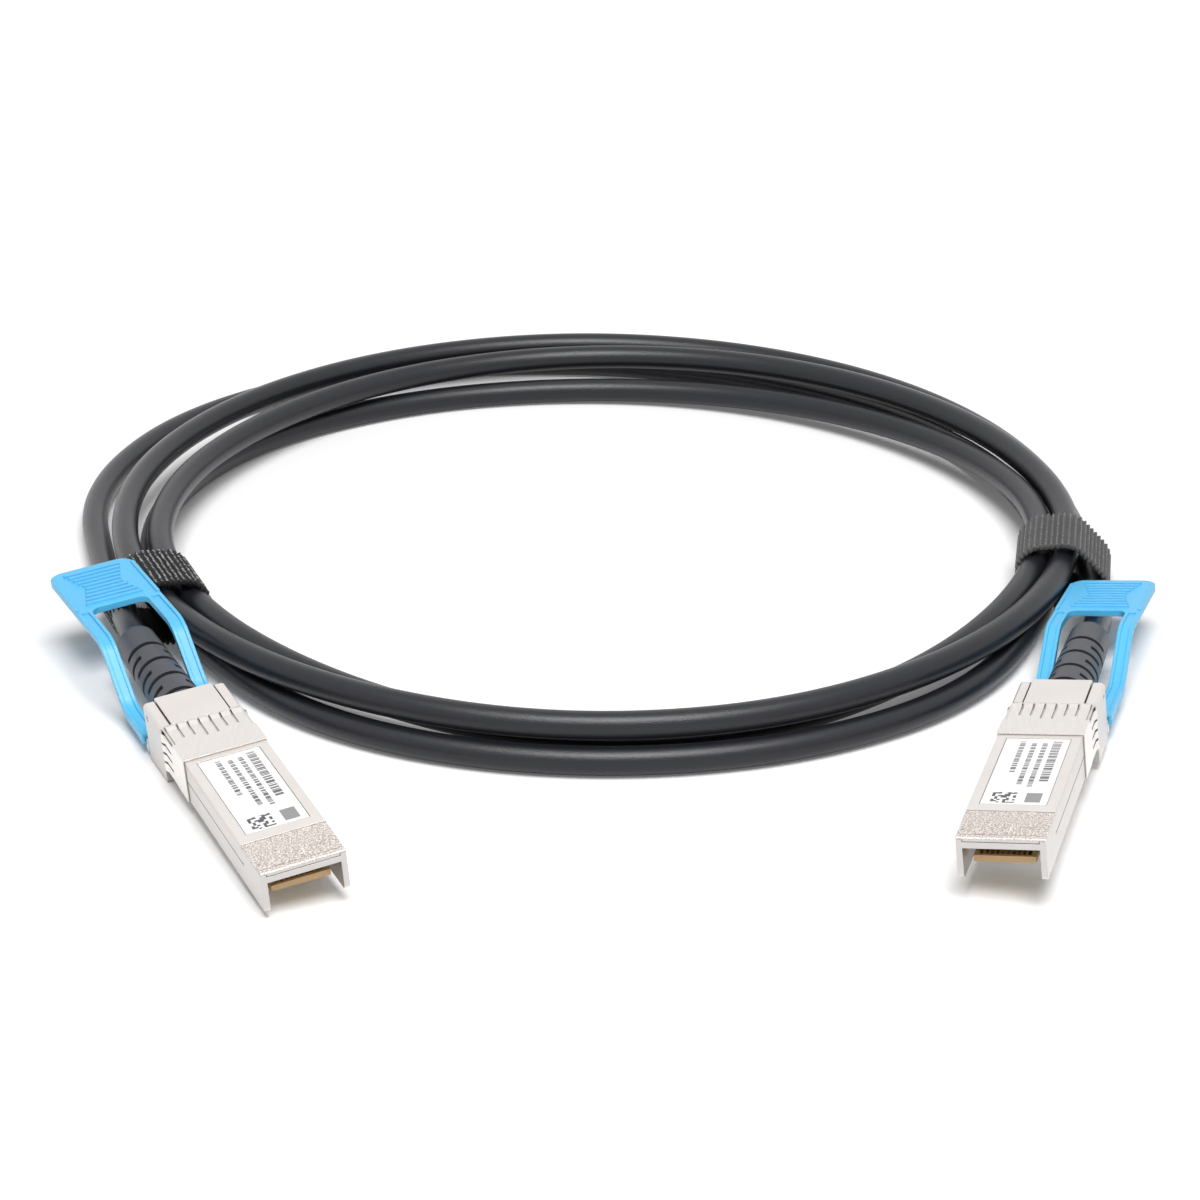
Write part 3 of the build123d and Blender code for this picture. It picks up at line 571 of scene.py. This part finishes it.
def strap_outline(end):
    """The closed middle line of a strap as a mesh, with its middle and the way along the cable."""
    runs = strap_runs[end]
    middle = sum(((a + b) / 2 for a, b in runs), Vector()) / len(runs)
    along = sum(((b - a).normalized() for a, b in runs), Vector())
    along = Vector((along.x, along.y, 0)).normalized()
    middle += along * STRAP_SLIDE[end]
    across, up = Vector((along.y, -along.x, 0)), Vector((0, 0, 1))
    spots = []
    for a, b in runs:
        spots.append(a - (b - a) * ((a - middle).dot(along) / (b - a).dot(along)))
    centre = sum(spots, Vector()) / len(spots)
    rounding = max((spot - centre).dot(across) for spot in spots) * ROUNDNESS
    spots = [spot.lerp(centre, ROUNDNESS) for spot in spots]
    radius = CABLE_DIAMETER / 2 * MM + STRAP_GAP + BAND_THICKNESS / 2 + rounding
    lowest = BAND_THICKNESS / 2 + RIB_HEIGHT + HOOK_SIZES[end] * (1.0 - HOOK_SUNK)
    line = []
    for step in range(OUTLINE_STEPS):
        angle = 2 * pi * step / OUTLINE_STEPS
        outward = across * cos(angle) + up * sin(angle)
        point = max(spots, key=outward.dot) + outward * radius
        line.append(Vector((point.x, point.y, max(point.z, lowest))))
    mesh = bpy.data.meshes.new(end + "_strap_outline")
    mesh.from_pydata(line, [(step, (step + 1) % OUTLINE_STEPS) for step in range(OUTLINE_STEPS)], [])
    reach = sum((a - b).length for a, b in zip(line, line[1:] + line[:1]))
    return mesh, middle, along, reach


outlines = {end: strap_outline(end) for end in SEATS}
for end, (mesh, middle, along, reach) in outlines.items():
    print(end, "strap is", round(reach / MM, 1), "mm round")

# %% [markdown]
# A tree of nodes takes named inputs. These helpers make a tree with its inputs, find a point beside
# the outline for a share of the way round, and run a tree and keep what it made as a plain mesh.


# %% Helpers for trees
def new_tree(name, **kinds):
    """A tree whose first input is the outline, and a signal for each input."""
    tree = bpy.data.node_groups.new(name, "GeometryNodeTree")
    tree.interface.new_socket("Outline", in_out="INPUT", socket_type="NodeSocketGeometry")
    for label, kind in kinds.items():
        tree.interface.new_socket(label.replace("_", " "), in_out="INPUT", socket_type="NodeSocket" + kind)
    tree.interface.new_socket("Piece", in_out="OUTPUT", socket_type="NodeSocketGeometry")
    entry = tree.nodes.new("NodeGroupInput")
    return {socket.name: Signal(tree, socket) for socket in entry.outputs if socket.name}


def close_tree(piece, material):
    """Realize Instances and Set Material, which end every tree."""
    piece = piece.add("GeometryNodeRealizeInstances", None, {0: piece})
    piece = piece.add("GeometryNodeSetMaterial", None, {"Geometry": piece, "Material": material})
    leave = piece.tree.nodes.new("NodeGroupOutput")
    piece.tree.links.new(piece.socket, leave.inputs[0])
    return piece.tree


def on_outline(entry, share):
    """A point of the outline, the way along it and the way outwards, at a share of the way round."""
    line = share.add("GeometryNodeMeshToCurve", None, {0: entry["Outline"]})
    spot = line.add("GeometryNodeSampleCurve", {"mode": "FACTOR"}, {"Curves": line, "Factor": share},
                    "Position")
    tangent = Signal(spot.tree, spot.socket.node.outputs["Tangent"])
    outward = entry["Along"].vector("CROSS_PRODUCT", tangent).vector("NORMALIZE")
    side = outward.vector("DOT_PRODUCT", spot.vector("SUBTRACT", entry["Middle"]), "Value")
    facing = side.add("ShaderNodeMath", {"operation": "SIGN"}, {0: side})
    return spot, tangent, outward.scaled(facing)


def grow(name, tree, end, **values):
    """Runs a tree on the outline of a strap, and keeps the result as a plain mesh."""
    outline, middle, along, _ = outlines[end]
    maker = bpy.data.objects.new(name + "_maker", outline)
    bpy.context.scene.collection.objects.link(maker)
    modifier = maker.modifiers.new("grow", "NODES")
    modifier.node_group = tree
    settings = {key.replace("_", " "): value for key, value in values.items()}
    settings.update({"Middle": middle, "Along": along})
    for item in tree.interface.items_tree:
        if item.in_out == "INPUT" and item.name in settings:
            value = settings[item.name]
            modifier[item.identifier] = list(value) if isinstance(value, Vector) else value
    mesh = bpy.data.meshes.new_from_object(maker.evaluated_get(bpy.context.evaluated_depsgraph_get()))
    bpy.data.objects.remove(maker)
    piece = bpy.data.objects.new(name, mesh)
    bpy.context.scene.collection.objects.link(piece)
    lowest = min(vertex.co.z for vertex in mesh.vertices)
    print(name, "has", len(mesh.polygons), "faces, its lowest point is at", round(lowest / MM, 2), "mm")
    return piece


# %% [markdown]
# The band is a grid that is rolled up twice: once round the outline and once round the section of
# the strap, a flat rectangle with rounded corners. Every step of the section is read by its number
# from that rectangle, and the outer face is lifted into ribs. The ends of the ribs stand out a
# little at the edges of the strap, like the teeth of a comb.


# %% Tree for the ribbed band
def ribbed_band_tree():
    entry = new_tree("ribbed_band", Middle="Vector", Along="Vector", Width="Float", Thickness="Float",
                     Rib_Count="Int", Rib_Height="Float", Comb="Float", Fabric="Material")
    start = entry["Width"]
    corner_count, corner_share, steps_per_rib = 2, 0.35, 8
    section_steps = 4 * (corner_count + 1)
    sheet = start.add("GeometryNodeMeshGrid", None,
                      {"Size X": 1.0, "Size Y": 1.0, "Vertices X": entry["Rib Count"] * steps_per_rib + 1.0,
                       "Vertices Y": section_steps + 1})
    place = start.add("GeometryNodeInputPosition")
    round_share = place.part("X") + 0.5
    section = start.add("GeometryNodeCurvePrimitiveQuadrilateral", None,
                        {"Width": entry["Width"], "Height": entry["Thickness"]})
    section = section.add("GeometryNodeFilletCurve", {"mode": "POLY"},
                          {"Curve": section, "Count": corner_count,
                           "Radius": entry["Thickness"] * corner_share})
    number = place.part("Y") * section_steps + (section_steps / 2)
    number = number.add("ShaderNodeMath", {"operation": "ROUND"}, {0: number})
    number = number.add("ShaderNodeMath", {"operation": "MODULO"}, {0: number, 1: section_steps})
    spot = section.add("GeometryNodeSampleIndex", {"data_type": "FLOAT_VECTOR", "domain": "POINT"},
                       {"Geometry": section, "Value": start.add("GeometryNodeInputPosition"),
                        "Index": number})
    wave = (round_share * entry["Rib Count"]) * (2 * pi)
    crest = 0.5 - 0.5 * wave.add("ShaderNodeMath", {"operation": "COSINE"}, {0: wave})
    base, _, outward = on_outline(entry, round_share)
    lift = spot.part("Y") + (spot.part("Y") > 0.0) * crest * entry["Rib Height"]
    reach = spot.part("X") * (1.0 - entry["Comb"] * (1.0 - crest))
    target = base.vector("ADD", outward.scaled(lift)).vector("ADD", entry["Along"].scaled(reach))
    rolled = sheet.add("GeometryNodeSetPosition", None, {"Geometry": sheet, "Position": target})
    closed = rolled.add("GeometryNodeMergeByDistance", None, {"Geometry": rolled, "Distance": 1e-6})
    return close_tree(closed, entry["Fabric"])


ribbed_band = ribbed_band_tree()
print("tree for the band has", len(ribbed_band.nodes), "nodes")

# %% [markdown]
# The hooks stand in rows, one row on the crest of each rib. They are small beads, longer outwards
# than wide, and no two are quite alike: a fixed seed shifts and resizes each one.

# %% Tree for the hooks
HOOK_SLIMNESS = 0.62


def jitter(start, low, high, seed):
    """A random number for each point, from a fixed seed."""
    return start.add("FunctionNodeRandomValue", {"data_type": "FLOAT"}, {2: low, 3: high, 8: seed}, 1)


def hook_rows_tree():
    entry = new_tree("hook_rows", Middle="Vector", Along="Vector", Width="Float", Height="Float",
                     Rib_Count="Int", Hooks_Per_Rib="Int", Hook_Size="Float", Seed="Int", Nylon="Material")
    start = entry["Width"]
    rows = start.add("GeometryNodeMeshGrid", None,
                     {"Size X": 1.0, "Size Y": 1.0, "Vertices X": entry["Rib Count"],
                      "Vertices Y": entry["Hooks Per Rib"]})
    place = start.add("GeometryNodeInputPosition")
    rib = (place.part("X") + 0.5) * (entry["Rib Count"] - 1.0) + 0.5
    share = rib.add("ShaderNodeMath", {"operation": "DIVIDE"}, {0: rib, 1: entry["Rib Count"]})
    base, tangent, outward = on_outline(entry, share)
    shift = jitter(start, -0.3, 0.3, entry["Seed"]) * entry["Hook Size"]
    target = base.vector("ADD", outward.scaled(entry["Height"]))
    target = target.vector("ADD", entry["Along"].scaled(place.part("Y") * entry["Width"]))
    target = target.vector("ADD", tangent.scaled(shift))
    points = rows.add("GeometryNodeSetPosition", None, {"Geometry": rows, "Position": target})
    bead = start.add("GeometryNodeMeshIcoSphere", None, {"Radius": 1.0, "Subdivisions": 1})
    size = jitter(start, 0.6, 1.15, entry["Seed"] + 1.0) * entry["Hook Size"]
    slim = size * HOOK_SLIMNESS
    shape = size.add("ShaderNodeCombineXYZ", None, {0: slim, 1: slim, 2: size})
    lean = target.vector("SUBTRACT", base)
    turn = lean.add("FunctionNodeAlignRotationToVector", {"axis": "Z"}, {"Vector": lean})
    hooks = points.add("GeometryNodeInstanceOnPoints", None,
                       {"Points": points, "Instance": bead, "Rotation": turn, "Scale": shape})
    return close_tree(hooks, entry["Nylon"])


hook_rows = hook_rows_tree()
print("tree for the hooks has", len(hook_rows.nodes), "nodes")

# %% [markdown]
# The pile of the inner face frays out at both edges. Each hair is a slim three-sided cone, set at a
# random place under one of the edges, and leaning outwards along the cable. A hair that meets the
# floor lies flat on it.

# %% Tree for the frayed pile
FRAY_DEPTH = 1.2 * MM


def frayed_pile_tree():
    entry = new_tree("frayed_pile", Middle="Vector", Along="Vector", Width="Float", Thickness="Float",
                     Hair_Count="Int", Hair_Length="Float", Hair_Radius="Float", Seed="Int",
                     Fabric="Material")
    start = entry["Width"]
    share = jitter(start, 0.0, 1.0, entry["Seed"])
    base, tangent, outward = on_outline(entry, share)
    edge = (jitter(start, -1.0, 1.0, entry["Seed"] + 1.0) > 0.0) * 2.0 - 1.0
    inset = jitter(start, 0.0, FRAY_DEPTH, entry["Seed"] + 2.0)
    depth = jitter(start, -0.7, 0.3, entry["Seed"] + 3.0) * entry["Thickness"]
    target = base.vector("ADD", entry["Along"].scaled(edge * (entry["Width"] * 0.5 - inset)))
    target = target.vector("ADD", outward.scaled(depth))
    points = start.add("GeometryNodePoints", None, {"Count": entry["Hair Count"], "Position": target})
    lean = entry["Along"].scaled(edge)
    lean = lean.vector("ADD", outward.scaled(jitter(start, -1.0, 0.2, entry["Seed"] + 4.0)))
    lean = lean.vector("ADD", tangent.scaled(jitter(start, -0.9, 0.9, entry["Seed"] + 5.0)))
    kept_lean = points.add("GeometryNodeCaptureAttribute", None, {0: points})
    capture = kept_lean.socket.node
    capture.capture_items.new("VECTOR", "lean")
    lean.tree.links.new(lean.socket, capture.inputs[1])
    kept = Signal(lean.tree, capture.outputs[1])
    turn = kept.add("FunctionNodeAlignRotationToVector", {"axis": "Z"}, {"Vector": kept})
    hair = start.add("GeometryNodeMeshCone", None,
                     {"Vertices": 3, "Radius Top": 0.0, "Radius Bottom": entry["Hair Radius"],
                      "Depth": entry["Hair Length"]})
    size = jitter(start, 0.5, 1.3, entry["Seed"] + 6.0)
    hairs = points.add("GeometryNodeInstanceOnPoints", None,
                       {"Points": kept_lean, "Instance": hair, "Rotation": turn, "Scale": size})
    hairs = hairs.add("GeometryNodeRealizeInstances", None, {0: hairs})
    tip = hairs.add("GeometryNodeInputPosition").vector("MAXIMUM", (-1.0, -1.0, 0.0))
    hairs = hairs.add("GeometryNodeSetPosition", None, {"Geometry": hairs, "Position": tip})
    return close_tree(hairs, entry["Fabric"])


frayed_pile = frayed_pile_tree()
print("tree for the pile has", len(frayed_pile.nodes), "nodes")

# %% [markdown]
# The webbing is dark polyester with a dry sheen, nearly black on the left where the hooks stand out,
# and greyer on the ribs of the right strap. Its threads are much finer than the ribs, so they are
# a bump of fine noise, and its hollows get painted shade. The hooks are bare nylon, glossier than
# the webbing, and their pale colour is painted glints, the small pale lights they catch.


# %% Webbing and nylon
def webbing_finish(name, dark, light, roughness, specular, sheen):
    """Threads with a mottled colour, a fine bump and painted shade in their hollows."""
    material, shader, place = new_finish(name, Specular_IOR_Level=specular, Sheen_Weight=sheen,
                                         Sheen_Roughness=0.45)
    threads = place.mottle(2600.0, 4.0)
    cloud = place.mottle(300.0)
    colour = (threads * 0.7 + cloud * 0.3).between(screen(*dark), screen(*light))
    # Painted shade in hollows: the valleys between the ribs and the gaps round hooks and hairs.
    shade = (1.0 - crevice(place, 0.6)) * 0.9
    feed(shader, "Base Color", shade.between(colour, screen(6, 6, 6)))
    feed(shader, "Roughness", roughness + 0.15 * threads)
    feed(shader, "Normal", relief(place, threads, 0.1, 0.6))
    return material


webbing = {"left": webbing_finish("left_webbing", (10, 10, 11), (44, 44, 45), 0.6, 0.25, 0.05),
           "right": webbing_finish("right_webbing", (22, 22, 23), (112, 111, 112), 0.55, 0.35, 0.1)}
pile_threads = webbing_finish("strap_pile", (8, 8, 9), (34, 33, 33), 0.8, 0.15, 0.1)
# The pale colour of the hooks is painted glints.
nylon_painted_glints = webbing_finish("hook_nylon_painted_glints", (120, 119, 118), (236, 234, 232), 0.22, 0.7, 0.0)
print("webbing is ready")

# %% Straps made from the trees
STRAP_SEEDS = {"left": 11, "right": 29}
HOOK_MARGIN = 0.6 * MM
COMB_DEPTH = 0.03
for end in SEATS:
    rib_count = round(outlines[end][3] / RIB_PITCH)
    band = grow(end + "_strap_band", ribbed_band, end, Width=STRAP_WIDTH, Thickness=BAND_THICKNESS,
                Rib_Count=rib_count, Rib_Height=RIB_HEIGHT, Comb=COMB_DEPTH, Fabric=webbing[end])
    hooks = grow(end + "_strap_hooks", hook_rows, end, Width=STRAP_WIDTH - 2 * HOOK_MARGIN,
                 Height=BAND_THICKNESS / 2 + RIB_HEIGHT - HOOK_SIZES[end] * HOOK_SUNK, Rib_Count=rib_count,
                 Hooks_Per_Rib=22, Hook_Size=HOOK_SIZES[end], Seed=STRAP_SEEDS[end], Nylon=nylon_painted_glints)
    pile = grow(end + "_strap_pile", frayed_pile, end, Width=STRAP_WIDTH, Thickness=BAND_THICKNESS,
                Hair_Count=1400, Hair_Length=0.8 * MM, Hair_Radius=0.05 * MM, Seed=STRAP_SEEDS[end],
                Fabric=pile_threads)
    for piece in (band, hooks, pile):
        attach(piece, "cable_assembly")
    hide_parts(end + "_strap")
for tree in (ribbed_band, hook_rows, frayed_pile):
    bpy.data.node_groups.remove(tree)
print("straps are woven")

# %% [markdown]
# ## Floor and light
# The object lies on a plain white floor, under a soft lamp above and a little in front of it. The
# world is white for the camera and for reflections, and gives gentler light to the surfaces. The
# floor fades to that white away from the object, for the same rays, and keeps the shadows near it.

# %% Floor
FLOOR_HALF = 6.0
GLOW_NEAR, GLOW_START, GLOW_END = 0.1, 0.12, 0.5


def seen_rays(start):
    """1 for rays from the camera, from shiny surfaces and through clear ones."""
    rays = start.add("ShaderNodeLightPath", None, None, "Is Camera Ray")
    for kind in ("Is Glossy Ray", "Is Transmission Ray"):
        rays = rays + start.add("ShaderNodeLightPath", None, None, kind)
    return rays.sum_up("MINIMUM", rays, 1.0)


floor_mesh = bpy.data.meshes.new("floor")
corners = [(-FLOOR_HALF, -FLOOR_HALF, 0), (FLOOR_HALF, -FLOOR_HALF, 0), (FLOOR_HALF, FLOOR_HALF, 0),
           (-FLOOR_HALF, FLOOR_HALF, 0)]
floor_mesh.from_pydata(corners, [], [(0, 1, 2, 3)])
floor = bpy.data.objects.new("floor", floor_mesh)
bpy.context.scene.collection.objects.link(floor)
floor_paint, shader, place = new_finish("floor_paint", Roughness=0.9, Specular_IOR_Level=0.1,
                                        Emission_Strength=1.0)
feed(shader, "Base Color", place.mottle(3.0).between(screen(250, 250, 250), screen(253, 253, 253)))
distance = place.vector("LENGTH", None, "Value")
glow = place.add("ShaderNodeMapRange", {"interpolation_type": "SMOOTHSTEP"},
                 {"Value": distance, "From Min": GLOW_START, "From Max": GLOW_END, "To Min": GLOW_NEAR,
                  "To Max": 1.0})
glow = glow * seen_rays(place)
feed(shader, "Emission Color", glow.add("ShaderNodeCombineColor", None, {0: glow, 1: glow, 2: glow}))
floor_mesh.materials.append(floor_paint)
print("floor laid")

# %% Lamp and world
WORLD_LIGHT = 0.22
LAMP_PLACE, LAMP_TARGET = (0.05, -0.36, 0.88), (0, 0.05, 0)
LAMP_SIZE, LAMP_POWER = 0.55, 9.6
world = bpy.data.worlds.new("studio")
bpy.context.scene.world = world
world.use_nodes = True
world_tree = world.node_tree
background = world_tree.nodes["Background"]
strength = seen_rays(Signal(world_tree, None)) * (1.0 - WORLD_LIGHT) + WORLD_LIGHT
background.inputs["Color"].default_value = (1.0, 1.0, 1.0, 1.0)
world_tree.links.new(strength.socket, background.inputs["Strength"])

lamp_data = bpy.data.lights.new("top_lamp", "AREA")
lamp_data.size = LAMP_SIZE
lamp_data.energy = LAMP_POWER
lamp = bpy.data.objects.new("top_lamp", lamp_data)
lamp.location = LAMP_PLACE
lamp.rotation_euler = (Vector(LAMP_TARGET) - Vector(LAMP_PLACE)).to_track_quat("-Z", "Y").to_euler()
bpy.context.scene.collection.objects.link(lamp)
bpy.context.scene.view_settings.view_transform = "Standard"
print("the lamp is on")
